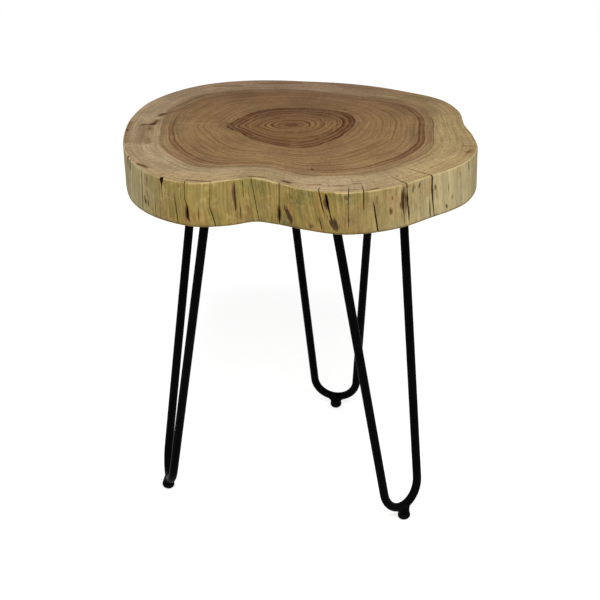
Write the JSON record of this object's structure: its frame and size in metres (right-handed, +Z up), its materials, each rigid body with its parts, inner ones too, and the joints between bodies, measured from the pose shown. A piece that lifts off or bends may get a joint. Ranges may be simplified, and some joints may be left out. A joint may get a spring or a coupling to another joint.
{
  "type": "live edge side table",
  "caption": "Low side table: a thick live-edge trunk slice with a waisted rim and drying checks, screwed to splayed hairpin legs of bent steel rod on domed glides.",
  "frame": {"origin": "on the floor, under the middle of the slab's box", "axes": "+Z up, from the floor to the table top; +X to the viewer's right and +Y away from the viewer who faces the waisted side of the slab"},
  "size_m": [0.3994, 0.4028, 0.45],
  "materials": {
    "slab_wood": "brown end-grain heartwood in a pale sapwood ring, with a bare yellowish live edge, satin lacquer",
    "black_steel": "satin black powder coat",
    "glide_rubber": "matt black moulding",
    "screw_zinc": "zinc plated"
  },
  "bodies": {
    "root": {"live_edge_slab": "slab_wood", "front_leg_rod": "black_steel", "front_leg_plate": "black_steel", "front_leg_foot_stud": "black_steel", "front_leg_glide": "glide_rubber", "front_leg_screw_1": "screw_zinc", "front_leg_screw_2": "screw_zinc", "front_leg_screw_3": "screw_zinc", "front_leg_screw_4": "screw_zinc", "left_leg_rod": "black_steel", "left_leg_plate": "black_steel", "left_leg_foot_stud": "black_steel", "left_leg_glide": "glide_rubber", "left_leg_screw_1": "screw_zinc", "left_leg_screw_2": "screw_zinc", "left_leg_screw_3": "screw_zinc", "left_leg_screw_4": "screw_zinc", "rear_leg_rod": "black_steel", "rear_leg_plate": "black_steel", "rear_leg_foot_stud": "black_steel", "rear_leg_glide": "glide_rubber", "rear_leg_screw_1": "screw_zinc", "rear_leg_screw_2": "screw_zinc", "rear_leg_screw_3": "screw_zinc", "rear_leg_screw_4": "screw_zinc"}
  },
  "joints": []
}
